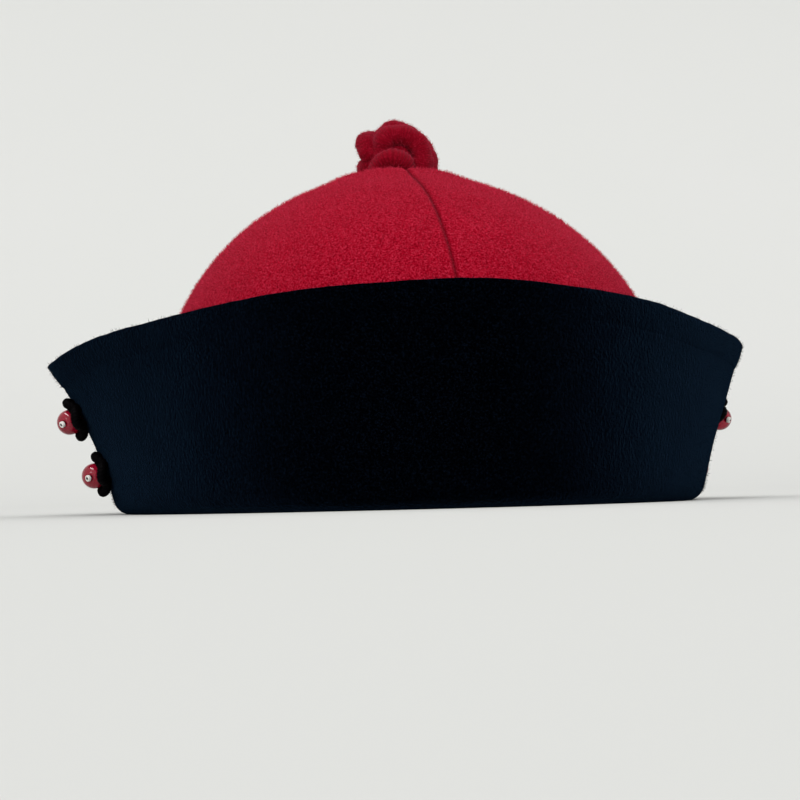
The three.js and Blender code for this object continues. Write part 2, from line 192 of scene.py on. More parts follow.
def aim(name, lamp, place):
    """Puts a lamp at a place and turns it to the hat."""
    lamp_object = bpy.data.objects.new(name, lamp)
    bpy.context.scene.collection.objects.link(lamp_object)
    lamp_object.location = place
    to_hat = LIT_POINT - Vector(place)
    lamp_object.rotation_euler = to_hat.to_track_quat("-Z", "Y").to_euler()
    return lamp_object


def soft_box(name, place, width, length, power):
    """A rectangular lamp that faces the hat."""
    lamp = bpy.data.lights.new(name, "AREA")
    lamp.shape = "RECTANGLE"
    lamp.size = width
    lamp.size_y = length
    lamp.energy = power
    return aim(name, lamp, place)


def skylight(name, place, degrees_wide, power):
    """A sun lamp so wide that its shadows are soft. It lights the floor and the wall alike."""
    lamp = bpy.data.lights.new(name, "SUN")
    lamp.angle = math.radians(degrees_wide)
    lamp.energy = power
    return aim(name, lamp, place)


sky = skylight("skylight", (-0.5, -1.6, 1.9), degrees_wide=50, power=1.45)
sky.visible_glossy = False
soft_box("window_left", (-0.75, -1.0, 0.75), width=0.28, length=0.28, power=1)
soft_box("window_right", (0.9, -0.8, 0.9), width=0.28, length=0.28, power=0.9)
strip = soft_box("ceiling_strip", (-0.52, -0.2, 1.23), width=1.1, length=0.2, power=7.5)
strip.visible_diffuse = False

# %% The pale world
world = bpy.data.worlds.new("pale_room")
world.use_nodes = True
world_light = world.node_tree.nodes["Background"].inputs
world_light["Color"].default_value = (0.86, 0.865, 0.85, 1)
world_light["Strength"].default_value = 0.84
bpy.context.scene.world = world
bpy.context.scene.view_settings.view_transform = "Standard"
print("lamps:", [light.name for light in bpy.data.lights])

# %% [markdown]
# ## Materials
# A material is a tree of nodes that ends in the Principled shader. A few helpers add a node, set
# or link its sockets, and give back its output, so that each finish below reads like a recipe.
# Patterns follow the Object coordinates, so they stay on the piece wherever it goes.

# %% Nodes and their sockets


def new_material(name):
    """A material with only a Principled shader and an output."""
    material = bpy.data.materials.new(name)
    material.use_nodes = True
    tree = material.node_tree
    return material, tree, tree.nodes["Principled BSDF"]


def wire(tree, node, sockets):
    """Sets a node's sockets, by number or name, and links those that a link is given for."""
    for socket, value in sockets.items():
        target = node.inputs[socket]
        if isinstance(value, bpy.types.NodeSocket):
            tree.links.new(value, target)
        elif target.type == "RGBA":
            target.default_value = (*value, 1)
        else:
            target.default_value = value


def add_node(tree, kind, sockets=None, **settings):
    """A new node with its settings, and with the sockets that are given."""
    node = tree.nodes.new(kind)
    for key, value in settings.items():
        setattr(node, key, value)
    wire(tree, node, sockets or {})
    return node


# %% Patterns


def object_place(tree):
    return add_node(tree, "ShaderNodeTexCoord").outputs["Object"]


def attribute(tree, name):
    """A number that the mesh keeps at each of its points."""
    return add_node(tree, "ShaderNodeAttribute", attribute_name=name).outputs["Fac"]


def noise(tree, where, scale, detail, roughness=0.6):
    sockets = {"Vector": where, "Scale": scale, "Detail": detail, "Roughness": roughness}
    return add_node(tree, "ShaderNodeTexNoise", sockets).outputs["Fac"]


def calculate(tree, operation, first, second):
    return add_node(tree, "ShaderNodeMath", {0: first, 1: second}, operation=operation).outputs[0]


def spread(tree, value, least, most):
    """Maps a 0 to 1 value to least to most."""
    sockets = {"Value": value, "To Min": least, "To Max": most}
    return add_node(tree, "ShaderNodeMapRange", sockets).outputs["Result"]


# %% Colours and relief


def ramp(tree, value, stops):
    """A colour ramp: stops are (position, colour) pairs."""
    node = add_node(tree, "ShaderNodeValToRGB", {"Fac": value})
    while len(node.color_ramp.elements) < len(stops):
        node.color_ramp.elements.new(0.5)
    for element, (position, colour) in zip(node.color_ramp.elements, stops):
        element.position = position
        element.color = (*colour, 1)
    return node.outputs["Color"]


def blend(tree, share, first, second):
    """Two colours mixed by a share: 0 is all the first, 1 is all the second."""
    node = add_node(tree, "ShaderNodeMix", data_type="RGBA")
    wire(tree, node, {0: share, 6: first, 7: second})
    return node.outputs[2]


def toned(colour, share):
    """The colour made darker, or lighter where the share is over 1."""
    return tuple(part * share for part in colour)


def bump(tree, height, depth, strength):
    """Normals that follow a height pattern, whose depth is in metres."""
    sockets = {"Height": height, "Distance": depth, "Strength": strength}
    return add_node(tree, "ShaderNodeBump", sockets).outputs["Normal"]


# %% The backdrop's paper


def paper(name):
    """Plain pale paper: a faint mottling, no gloss."""
    material, tree, shader = new_material(name)
    mottling = noise(tree, object_place(tree), scale=3, detail=2)
    wire(tree, shader, {
        "Base Color": blend(tree, mottling, (0.655, 0.66, 0.645), (0.67, 0.67, 0.66)),
        "Roughness": 1,
        "Specular IOR Level": 0,
    })
    return material


backdrop.data.materials.append(paper("pale_paper"))

# %% [markdown]
# ## Felt
# Felt is a mat of wool fibres with no weave. Up close its colour is mottled, because each fibre
# takes the dye a little differently, and its surface is a low relief of tangled nap. Noise
# patterns at different scales give the mottling, and the finest ones also drive the bump. Felt
# has no gloss, so the specular level is zero. Sheen lights the fibres that stand up where the felt
# turns away from the eye, and the bump breaks it into clumps like the nap itself.

# %% Two felts
# How dark the shade painted into the seams is, as a share of the felt's shade colour.
SEAM_SHADE = 0.6


def felt(name, shade, body, tip, sheen, sheen_tint, depth):
    """Wool felt: shade is the colour deep in the nap, body the usual one, tip the fibre ends'.

    Sheen is how much the standing fibres catch the light, and depth how rough the nap is.
    """
    material, tree, shader = new_material(name)
    where = object_place(tree)
    patches = noise(tree, where, scale=90, detail=2)
    nap = noise(tree, where, scale=1700, detail=5, roughness=0.75)
    lumps = noise(tree, where, scale=1000, detail=1)
    mottled = ramp(tree, nap, ((0.4, shade), (0.51, body), (0.64, tip)))
    deepened = blend(tree, spread(tree, patches, 0, 0.35), mottled, shade)
    # Painted shade: deep in the crown's seams the felt's colour is darkened towards its shade colour.
    seam_shade_share = spread(tree, attribute(tree, "painted_seam_shade"), 0, 0.8)
    sewn = blend(tree, seam_shade_share, deepened, toned(shade, SEAM_SHADE))
    wire(tree, shader, {
        "Base Color": blend(tree, attribute(tree, "fibre"), sewn, tip),
        "Roughness": spread(tree, nap, 0.9, 1),
        "Normal": bump(tree, calculate(tree, "ADD", nap, lumps), depth, strength=0.7),
        "Specular IOR Level": 0,
        "Sheen Weight": sheen,
        "Sheen Roughness": 0.27,
        "Sheen Tint": sheen_tint,
    })
    return material


red_felt = felt(
    "red_wool_felt",
    shade=(0.18, 0.0006, 0.006), body=(0.38, 0.0022, 0.017), tip=(0.6, 0.032, 0.074),
    sheen=0.2, sheen_tint=(1, 0.27, 0.4), depth=0.0005,
)
black_felt = felt(
    "black_wool_felt",
    shade=(0.0001, 0.0001, 0.0003), body=(0.0002, 0.0004, 0.001), tip=(0.0023, 0.005, 0.0105),
    sheen=0.087, sheen_tint=(0.2, 0.5, 1), depth=0.0009,
)
print("felts:", red_felt.name, black_felt.name)

# %% [markdown]
# ## The crown
# A hatter cuts four gores, the pointed quarters of a dome, and sews them edge to edge. Here the
# dome is made whole, so that its outline runs on smoothly from gore to gore. One vertex is
# extruded point after point to draw the outline, and spins sweep it round. Each quarter turn is
# five spins, with columns closest together beside the seams, where the felt dips. Vertex weights
# tell two Displace modifiers how far the felt sinks at a seam and swells between the seams.

# %% Weights


def smooth_step(value, start, end):
    """Rises softly from 0 at the start to 1 at the end."""
    share = min(max((value - start) / (end - start), 0), 1)
    return share * share * (3 - 2 * share)


def hump(distance, width):
    """1 at no distance, falling softly on both sides."""
    return math.exp(-((distance / width) ** 2))


def weigh(piece, name, weight_of):
    """A vertex group whose weights come from each vertex."""
    group = piece.vertex_groups.new(name=name)
    for vertex in piece.data.vertices:
        group.add([vertex.index], weight_of(vertex), "REPLACE")


# %% Modifiers, with their sizes in mm


def displace(piece, strength, group="", texture=None):
    """Pushes the surface along its normals, by a vertex group's weights or a texture."""
    modifier = piece.modifiers.new("displace", "DISPLACE")
    modifier.strength = strength * MM
    modifier.mid_level = 0.5 if texture else 0
    modifier.vertex_group = group
    modifier.texture = texture
    modifier.texture_coords = "LOCAL"


def clouds(name, size, depth=2):
    texture = bpy.data.textures.new(name, "CLOUDS")
    texture.noise_scale = size * MM
    texture.noise_depth = depth
    return texture


def thicken(piece, thickness, offset, even=False):
    """Gives a sheet its thickness: offset -1 is all behind its faces, 0 is half on each side."""
    solid = piece.modifiers.new("thickness", "SOLIDIFY")
    solid.thickness = thickness * MM
    solid.offset = offset
    solid.use_even_offset = even


def round_edges(piece, width):
    """Rounds the sharp edges."""
    rounded = piece.modifiers.new("rounded", "BEVEL")
    rounded.width = width * MM
    rounded.segments = 2
    rounded.limit_method = "ANGLE"
    rounded.angle_limit = math.radians(50)


def subdivide(piece):
    modifier = piece.modifiers.new("subdivision", "SUBSURF")
    modifier.levels = 1
    modifier.render_levels = 1


# %% The crown's outline
CROWN_HALF_WIDTH = 84.9
CROWN_HALF_LENGTH = 100.9
CROWN_HEIGHT = 108
CROWN_BASE = 9.3
CROWN_FELT = 2.2
HEIGHT_POWER = 2.65
SPREAD_POWER = 1.9
CROWN_LEAN = 3.5
APEX_HOLE = 2.6
DIMPLE_DEPTH = 3
DIMPLE_FLOOR = 4
DIMPLE_RADIUS = 17
PUFF_HEIGHT = 2
PUFF_RADIUS = 16.5
PUFF_WIDTH = 6
CROWN_ROWS = 44


def crown_row(row):
    """Spread (1 at the widest) and height in mm of a row, from the base up to the apex hole."""
    first = math.asin((CROWN_BASE / CROWN_HEIGHT) ** (HEIGHT_POWER / 2))
    last = math.acos((APEX_HOLE / CROWN_HALF_WIDTH) ** (SPREAD_POWER / 2))
    climb = first + (last - first) * row / (CROWN_ROWS - 1)
    reach = math.cos(climb) ** (2 / SPREAD_POWER)
    height = CROWN_HEIGHT * math.sin(climb) ** (2 / HEIGHT_POWER)
    radius = reach * CROWN_HALF_WIDTH
    puff = PUFF_HEIGHT * hump(radius - PUFF_RADIUS, PUFF_WIDTH)
    dimple = DIMPLE_DEPTH * (1 - smooth_step(radius, DIMPLE_FLOOR, DIMPLE_RADIUS))
    return reach, height + puff - dimple


def crown_lean(height):
    """How far the crown leans towards its right side at a height in mm."""
    return CROWN_LEAN * (height / CROWN_HEIGHT) ** 2


rows = [crown_row(row) for row in range(CROWN_ROWS)]
print("the outline rises from", [round(v, 2) for v in rows[0]], "to", [round(v, 2) for v in rows[-1]])

# %% The dome
# The spins of a quarter turn, from seam to seam, as (degrees, steps).
QUARTER_SPINS = ((1.2, 3), (3.8, 4), (80, 24), (3.8, 4), (1.2, 3))
DOME_MERGE = 0.00001

dome = begin(bpy.ops.mesh.primitive_plane_add, "dome", size=0.01, location=(0, 0, 0))
bpy.ops.mesh.merge(type="CENTER")
bpy.ops.mesh.select_all(action="SELECT")
spots = [Vector((0, -reach * CROWN_HALF_LENGTH * MM, height * MM)) for reach, height in rows]
bpy.ops.transform.translate(value=spots[0])
for before, after in zip(spots, spots[1:]):
    bpy.ops.mesh.extrude_region_move(TRANSFORM_OT_translate={"value": after - before})
bpy.ops.mesh.select_all(action="SELECT")
for degrees, steps in QUARTER_SPINS * 4:
    bpy.ops.mesh.spin(steps=steps, angle=math.radians(degrees), center=(0, 0, 0), axis=(0, 0, 1))
bpy.ops.mesh.select_all(action="SELECT")
bpy.ops.mesh.remove_doubles(threshold=DOME_MERGE)
bpy.ops.mesh.normals_make_consistent(inside=False)
bpy.ops.transform.resize(
    value=(CROWN_HALF_WIDTH / CROWN_HALF_LENGTH, 1, 1), center_override=(0, 0, 0)
)
for _, height in rows:
    choose(dome, "VERT", lambda v: abs(v.co.z - height * MM) < SAME_SPOT)
    bpy.ops.transform.translate(value=(-crown_lean(height) * MM, 0, 0))
bpy.ops.mesh.select_all(action="SELECT")
bpy.ops.transform.translate(value=HEAD)
bpy.ops.object.mode_set(mode="OBJECT")
report(dome)

# %% Seams that dip and gores that swell
SEAM_WIDTH = 0.8
SEAM_DIP = 0.7
GORE_SWELL = 1.2


def across_seams(spot):
    """The spot's distances in mm from the side seams' plane and from the front seam's plane."""
    return (spot.x - HEAD.x) / MM + crown_lean(spot.z / MM), spot.y / MM


def from_seam(spot):
    """The spot's distance in mm from the nearest seam."""
    return min(abs(distance) for distance in across_seams(spot))


def seam_weight(vertex):
    return hump(from_seam(vertex.co), SEAM_WIDTH)


def swell_weight(vertex):
    x, y = across_seams(vertex.co)
    turn = math.atan2(x, -y)
    rise = min(vertex.co.z / MM / CROWN_HEIGHT, 1)
    return math.sin(2 * turn) ** 2 * math.sin(math.pi * rise)


weigh(dome, "seam", seam_weight)
weigh(dome, "swell", swell_weight)
displace(dome, -SEAM_DIP, "seam")
displace(dome, GORE_SWELL, "swell")
apply_modifiers(dome)
report(dome)

# %% [markdown]
# The dome is now cut into its gores along the seams' planes. Solidify gives each gore the felt's
# thickness on the inner side, and subdivision rounds its cut edges, so that a fine valley runs
# where two gores meet. Both steps draw the cut faces back a little and light would come through,
# so they are laid flat again, a hair across the seams' planes. A low cloud pattern keeps the felt
# from looking like moulded plastic. It fades out at the seams, where the gores stay edge to edge.
# Each vertex is also told how deep in the seam it lies, and shade is painted into the felt there.

# %% Cut the dome
# For each gore, which side of the side seams' plane and of the front seam's plane it lies on.
GORES = {"front_left": (1, -1), "back_left": (1, 1), "back_right": (-1, 1), "front_right": (-1, -1)}


def in_gore(face, sides):
    distances = across_seams(face.calc_center_median())
    return all(distance * side > 0 for distance, side in zip(distances, sides))


def cut_gore(sides):
    """Cuts the gore on those sides of the two planes out of the dome."""
    only(dome)
    bpy.ops.object.mode_set(mode="EDIT")
    choose(dome, "FACE", lambda face: in_gore(face, sides))
    bpy.ops.mesh.separate(type="SELECTED")
    bpy.ops.object.mode_set(mode="OBJECT")
    return next(part for part in bpy.context.selected_objects if part != dome)


# The last gore is what the other three leave of the dome.
gores = {name: cut_gore(sides) for name, sides in list(GORES.items())[:3]}
gores["front_right"] = dome
for name, gore in gores.items():
    gore.name = "felt_gore_" + name
print("the dome is cut into", list(gores))

# %% Lay a cut face on its seam's plane
SEAM_LAP = 0.1
CUT_REACH = 1.6
CORNER_REACH = 4
CUT_FACING = 0.75


def lay_cut_face(gore, axis, side):
    """Lays the cut face across an axis, on a gore that lies on one side of it, past the seam."""

    def is_cut(face):
        distances = across_seams(face.calc_center_median())
        near = abs(distances[axis]) < CUT_REACH and abs(distances[1 - axis]) > CORNER_REACH
        return near and -face.normal[axis] * side > CUT_FACING

    bpy.ops.object.mode_set(mode="EDIT")
    count = choose(gore, "FACE", is_cut)
    shape = bmesh.from_edit_mesh(gore.data)
    for vertex in shape.verts:
        if vertex.select:
            vertex.co[axis] -= (across_seams(vertex.co)[axis] + SEAM_LAP * side) * MM
    bmesh.update_edit_mesh(gore.data)
    bpy.ops.object.mode_set(mode="OBJECT")
    print(gore.name, "has", count, "faces on the cut")


# %% Four gores of felt
# The width in mm of the shade painted along each seam.
SHADOW_WIDTH = 0.65
CALM_BY_SEAM = 0.4
FREE_OF_SEAM = 4
CROWN_LUMPS = 0.6
FELT_GRAIN = 0.2
felt_lumps = clouds("felt_lumps", 9)
felt_grain = clouds("felt_grain", 2.2, 4)


def off_seam(vertex):
    return smooth_step(from_seam(vertex.co), CALM_BY_SEAM, FREE_OF_SEAM)


def mark_points(piece, name, value_of):
    """Stores a number at each of the mesh's points, for its material to read."""
    values = piece.data.attributes.new(name, "FLOAT", "POINT").data
    for vertex in piece.data.vertices:
        values[vertex.index].value = value_of(vertex.co)


for name, gore in gores.items():
    weigh(gore, "off_seam", off_seam)
    thicken(gore, CROWN_FELT, -1, even=True)
    subdivide(gore)
    displace(gore, CROWN_LUMPS, "off_seam", felt_lumps)
    displace(gore, FELT_GRAIN, "off_seam", felt_grain)
    apply_modifiers(gore)
    bpy.ops.object.shade_smooth()
    for axis, side in enumerate(GORES[name]):
        lay_cut_face(gore, axis, side)
    # Each point stores how much shade is painted into the felt's colour in the seam.
    mark_points(gore, "painted_seam_shade", lambda spot: hump(from_seam(spot), SHADOW_WIDTH))
    report(gore)

# %% [markdown]
# ## The nap
# Wool felt is never bare: single fibres stand off it and blur its outline. One fibre is modelled
# as a bent sliver of two faces. A Geometry Nodes modifier strews copies of it over a piece,
# lets each lean its own way, and makes them part of the piece's mesh. Vertex weights say where
# the nap grows. The seeds are fixed. Single fibres still fall a little differently from run to
# run, because some mesh operators number a piece's faces in another order each time.

# %% One fibre
FIBRE_WIDTH = 0.07
FIBRE_STEM = 0.5
FIBRE_TIP = Vector((0, 0.45, 0.22))
SHORTEST_FIBRE = 0.35
LONGEST_FIBRE = 1.5
fibre = begin(bpy.ops.mesh.primitive_plane_add, "fibre", size=MM, location=(0, 0, 0))
bpy.ops.transform.resize(value=(FIBRE_WIDTH, FIBRE_STEM, 1))
bpy.ops.transform.translate(value=(0, FIBRE_STEM / 2 * MM, 0))
choose(fibre, "EDGE", lambda e: all(v.co.y > FIBRE_STEM * 0.8 * MM for v in e.verts))
bpy.ops.mesh.extrude_region_move(TRANSFORM_OT_translate={"value": FIBRE_TIP * MM})
bpy.ops.mesh.merge(type="CENTER")
bpy.ops.mesh.select_all(action="SELECT")
bpy.ops.transform.rotate(value=math.radians(-90), orient_axis="X", center_override=(0, 0, 0))
bpy.ops.object.mode_set(mode="OBJECT")
report(fibre)

# %% Nodes that strew it
NAP_INPUTS = {
    "Geometry": "NodeSocketGeometry", "Density": "NodeSocketFloat",
    "Length": "NodeSocketFloat", "Seed": "NodeSocketInt",
}


def nap_group():
    """A node group that adds fibres to the geometry it gets, where the weight 'nap' says."""
    group = bpy.data.node_groups.new("nap", "GeometryNodeTree")
    for name, kind in NAP_INPUTS.items():
        group.interface.new_socket(name, in_out="INPUT", socket_type=kind)
    group.interface.new_socket("Geometry", in_out="OUTPUT", socket_type="NodeSocketGeometry")
    given = group.nodes.new("NodeGroupInput").outputs
    made = group.nodes.new("NodeGroupOutput").inputs
    weight = add_node(group, "GeometryNodeInputNamedAttribute", {"Name": "nap"})
    thinned = calculate(group, "MULTIPLY", weight.outputs["Attribute"], given["Density"])
    strewn = add_node(
        group, "GeometryNodeDistributePointsOnFaces",
        {"Mesh": given["Geometry"], "Density": thinned, "Seed": given["Seed"]},
    )
    lean = add_node(
        group, "FunctionNodeRandomValue",
        {"Min": (-1, -1, -1), "Max": (1, 1, 1), "Seed": given["Seed"]}, data_type="FLOAT_VECTOR",
    )
    way = add_node(
        group, "ShaderNodeVectorMath", {0: lean.outputs[0], 1: strewn.outputs["Normal"]},
        operation="ADD",
    )
    turned = add_node(
        group, "FunctionNodeAlignRotationToVector", {"Vector": way.outputs[0]}, axis="Z"
    )
    size = add_node(
        group, "FunctionNodeRandomValue", {2: SHORTEST_FIBRE, 3: LONGEST_FIBRE}, data_type="FLOAT"
    )
    reach = calculate(group, "MULTIPLY", size.outputs[1], given["Length"])
    scale = add_node(group, "ShaderNodeCombineXYZ", {0: 1.0, 1: 1.0, 2: reach})
    source = add_node(group, "GeometryNodeObjectInfo", {"Object": fibre})
    copies = add_node(
        group, "GeometryNodeInstanceOnPoints",
        {
            "Points": strewn.outputs["Points"], "Instance": source.outputs["Geometry"],
            "Rotation": turned.outputs[0], "Scale": scale.outputs[0],
        },
    )
    real = add_node(group, "GeometryNodeRealizeInstances", {"Geometry": copies.outputs[0]})
    marked = add_node(
        group, "GeometryNodeStoreNamedAttribute",
        {"Geometry": real.outputs[0], "Name": "fibre", "Value": 1.0},
    )
    both = add_node(group, "GeometryNodeJoinGeometry")
    group.links.new(marked.outputs[0], both.inputs[0])
    group.links.new(given["Geometry"], both.inputs[0])
    group.links.new(both.outputs[0], made[0])
    return group


nap = nap_group()
print("the nap's group has", len(nap.nodes), "nodes")

# %% Grow a nap and finish a piece


def grow_nap(piece, per_square_mm, length, seed, weight_of):
    """Grows fibres on the piece, as thickly as the weights say. Length 1 is the fibre's own."""
    weigh(piece, "nap", weight_of)
    modifier = piece.modifiers.new("nap", "NODES")
    modifier.node_group = nap
    settings = {"Density": per_square_mm / MM / MM, "Length": length, "Seed": seed}
    for item in nap.interface.items_tree:
        if item.in_out == "INPUT" and item.name in settings:
            modifier[item.identifier] = settings[item.name]
    before = len(piece.data.polygons)
    apply_modifiers(piece)
    piece.vertex_groups.clear()
    print(piece.name, "has", (len(piece.data.polygons) - before) // 2, "fibres")


def finish(piece, material, slot, *nodes):
    """Gives the piece its material and stands it in for its CAD nodes."""
    piece.data.materials.clear()
    piece.data.materials.append(material)
    for face in piece.data.polygons:
        face.material_index = 0
    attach(piece, "root")
    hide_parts(*nodes)


# %% The crown's nap
CROWN_MIDDLE = HEAD + Vector((0, 0, 30 * MM))
BARE_BY_SEAM = 0.8
FULL_NAP = 2.5


def crown_nap(vertex):
    """No fibres inside the crown or down in the seams, where the thread pulls them flat."""
    outward = vertex.normal.dot(vertex.co - CROWN_MIDDLE)
    if outward > 0 and vertex.co.z > CROWN_MIDDLE.z:
        return smooth_step(from_seam(vertex.co), BARE_BY_SEAM, FULL_NAP)
    return 0.0


for number, (name, gore) in enumerate(gores.items()):
    grow_nap(gore, per_square_mm=2, length=0.95, seed=11 + number, weight_of=crown_nap)
    finish(gore, red_felt, "red_felt", "crown_" + name)
    report(gore)

# %% [markdown]
# ## The brim
# The brim is one ring of thick black felt. A short lip stands inside the crown, a flat foot lies
# on the floor, and an outward roll turns up into the tall cuff, which is pinched out at both
# sides. A ring of vertices is extruded row after row from the lip to the cuff's edge. Each vertex
# remembers its azimuth, so that every new row can be laid where the section at that azimuth
# says. A table holds the cuff's edge round the hat, and a smooth closed curve runs through it.

# %% The brim's sections
HEAD_HALF_WIDTH = 82.5
HEAD_HALF_LENGTH = 98.5
# For each 15 degrees from the front to the side: the cuff's edge out from the head, its height,
# and the foot's width, in mm, on the right side and then on the left.
BRIM_SECTIONS = (
    ((22, 61.5, 4), (22, 61.5, 4)),
    ((19.5, 61.5, 4), (19.5, 59.5, 4)),
    ((18, 60.5, 4), (17.5, 57, 3.3)),
    ((18, 58.2, 4), (17, 53.5, 2.4)),
    ((20.5, 55.8, 4.5), (18.5, 51.5, 1.5)),
    ((27, 52.8, 5.4), (23, 50, 0.8)),
    ((34.8, 47.8, 6), (28.5, 50.5, 0.5)),
)
right_side = [Vector(right) for right, _ in BRIM_SECTIONS]
left_side = [Vector(left) for _, left in BRIM_SECTIONS]
round_once = left_side + left_side[-2:0:-1] + right_side + right_side[-2:0:-1]


def on_curve(points, first, share):
    """A point of the smooth closed curve through the points, a share of the way past the first."""
    a, b, c, d = (points[(first + step) % len(points)] for step in (-1, 0, 1, 2))
    return b + share * ((c - a) + share * ((2 * a - 5 * b + 4 * c - d) + share * (3 * (b - c) + d - a))) / 2


def section_at(azimuth):
    """The edge's place out, its height and the foot's width at an azimuth in radians."""
    place = (azimuth / (2 * math.pi) % 1) * len(round_once)
    return on_curve(round_once, int(place), place - int(place))


def head_point(azimuth, out, height):
    """A point that lies out from the head opening, at an azimuth from the front towards +X."""
    across = Vector((math.sin(azimuth) / HEAD_HALF_WIDTH, -math.cos(azimuth) / HEAD_HALF_LENGTH, 0))
    edge = Vector((HEAD_HALF_WIDTH * math.sin(azimuth), -HEAD_HALF_LENGTH * math.cos(azimuth), height))
    return HEAD + (edge + across.normalized() * out) * MM


print("the front section is", [round(v, 2) for v in section_at(0)])

# %% The lip, the foot and the roll
BRIM_FELT = 2.6
LIP_HEIGHTS = (9, 7, 5)
LIP_RADIUS = 3
LIP_TURNS = (180, 202, 225, 247, 270)
ROLL_RADIUS = 5.5
ROLL_STEPS = 6


def arc(centre, radius, turn):
    return Vector((centre[0] + radius * math.cos(turn), centre[1] + radius * math.sin(turn)))


def hem_line(foot, first_lean):
    """The felt's middle as (out, height) points in mm, from the lip's top to the roll's end."""
    half = BRIM_FELT / 2
    line = [Vector((half, height)) for height in LIP_HEIGHTS]
    for turn in LIP_TURNS:
        line.append(arc((LIP_RADIUS, LIP_RADIUS), LIP_RADIUS - half, math.radians(turn)))
    line.append(Vector((LIP_RADIUS + foot / 2, half)))
    for step in range(ROLL_STEPS + 1):
        turn = -math.pi / 2 + step / ROLL_STEPS * (math.pi / 2 - first_lean)
        line.append(arc((LIP_RADIUS + foot, ROLL_RADIUS), ROLL_RADIUS - half, turn))
    return line


print("the lip, foot and roll have", len(hem_line(4, 0)), "points")

# %% The cuff, with a hem along its edge
FLARE_START = 0.75
FLARE_SWING = 0.25
FLARE_PULL = 0.5
CUFF_ROWS = 11
# How far below the edge each row of the hem lies, and how far the felt swells there.
HEM_ROWS = (
    (10.4, 0), (9, 0), (8.2, -0.35), (7.4, 0.2), (6.2, 0.4), (3.2, 0.45), (0.9, 0.35), (0, 0.1)
)


def cuff_rows(slant):
    """Each row's distance below the edge and its swell, for a cuff of a slant height in mm."""
    hem = HEM_ROWS[0][0]
    plain = [hem + (slant - hem) * step / CUFF_ROWS for step in range(CUFF_ROWS - 1, 0, -1)]
    return [(down, 0) for down in plain] + list(HEM_ROWS)


def brim_line(azimuth):
    """The felt's middle as (out, height) points in mm, from the lip's top to the cuff's edge."""
    edge_out, edge_height, foot = section_at(azimuth)
    roll_out = LIP_RADIUS + foot + ROLL_RADIUS
    lean = math.atan2(edge_out - roll_out, edge_height - ROLL_RADIUS)
    first_lean = lean * (FLARE_START + FLARE_SWING * math.sin(azimuth))
    line = hem_line(foot, first_lean)
    start = line[-1]
    end = Vector((edge_out - BRIM_FELT / 2, edge_height))
    slant = (end - start).length
    bend = start + Vector((math.sin(first_lean), math.cos(first_lean))) * slant * FLARE_PULL
    for down, swell in cuff_rows(slant):
        t = 1 - down / slant
        spot = start * (1 - t) ** 2 + bend * (2 * t * (1 - t)) + end * t * t
        along = ((bend - start) * (1 - t) + (end - bend) * t).normalized()
        line.append(spot + Vector((along.y, -along.x)) * swell)
    return line


print("each section has", len(brim_line(0)), "points")

# %% A ring, row by row


def start_ring(name, columns):
    """A ring of vertices that remember their azimuth, open in edit mode."""
    piece = begin(
        bpy.ops.mesh.primitive_circle_add, name, vertices=columns, radius=HEAD_HALF_WIDTH * MM
    )
    shape = bmesh.from_edit_mesh(piece.data)
    azimuth = shape.verts.layers.float.new("azimuth")
    for vertex in shape.verts:
        vertex[azimuth] = math.atan2(vertex.co.x, -vertex.co.y)
    bmesh.update_edit_mesh(piece.data)
    return piece


def lay_row(piece, place_of):
    """Lays the selected vertices at the (out, height) that place_of gives for their azimuth."""
    shape = bmesh.from_edit_mesh(piece.data)
    azimuth = shape.verts.layers.float["azimuth"]
    for vertex in shape.verts:
        if vertex.select:
            vertex.co = head_point(vertex[azimuth], *place_of(vertex[azimuth]))
    bmesh.update_edit_mesh(piece.data)


def loft_ring(piece, rows, place_of):
    """Extrudes the ring to a number of rows, each laid by place_of(azimuth, row)."""
    for row in range(rows):
        if row:
            bpy.ops.mesh.extrude_region_move()
        lay_row(piece, lambda azimuth: place_of(azimuth, row))
    bpy.ops.mesh.select_all(action="SELECT")
    bpy.ops.mesh.normals_make_consistent(inside=False)
    bpy.ops.object.mode_set(mode="OBJECT")


# %% The brim's ring
BRIM_COLUMNS = 144
brim_lines = {}


def brim_place(azimuth, row):
    """A row's place, from a section that is worked out once for each azimuth."""
    if azimuth not in brim_lines:
        brim_lines[azimuth] = brim_line(azimuth)
    return brim_lines[azimuth][row]


brim = start_ring("felt_brim", BRIM_COLUMNS)
loft_ring(brim, len(brim_line(0)), brim_place)
report(brim)

# %% Its waves, thickness and surface
WAVE_HEIGHT = 1.1
WAVE_SIZE = 34
WAVES_START = 8
WAVES_FULL = 22
CUT_EDGE = 0.9
BRIM_LUMPS = 0.45
ON_FLOOR = 0.0001


def above_foot(vertex):
    """The cuff waves freely, and the foot stays flat."""
    return smooth_step(vertex.co.z / MM, WAVES_START, WAVES_FULL)


weigh(brim, "above_foot", above_foot)
displace(brim, WAVE_HEIGHT, "above_foot", clouds("brim_waves", WAVE_SIZE, 1))
thicken(brim, BRIM_FELT, 0, even=True)
round_edges(brim, CUT_EDGE)
subdivide(brim)
displace(brim, BRIM_LUMPS, texture=felt_lumps)
displace(brim, FELT_GRAIN, texture=felt_grain)
apply_modifiers(brim)
bpy.ops.object.shade_smooth()
bpy.ops.object.mode_set(mode="EDIT")
sunk = choose(brim, "VERT", lambda v: v.co.z < ON_FLOOR)
bpy.ops.transform.resize(value=(1, 1, 0), center_override=(0, 0, 0))
bpy.ops.object.mode_set(mode="OBJECT")
print(sunk, "vertices of the foot are laid flat on the floor")
report(brim)

# %% The brim's nap
BARE_FOOT = 2.5
NAP_LOSS = 0.78
THICK_NAP = 5
THIN_NAP = 13


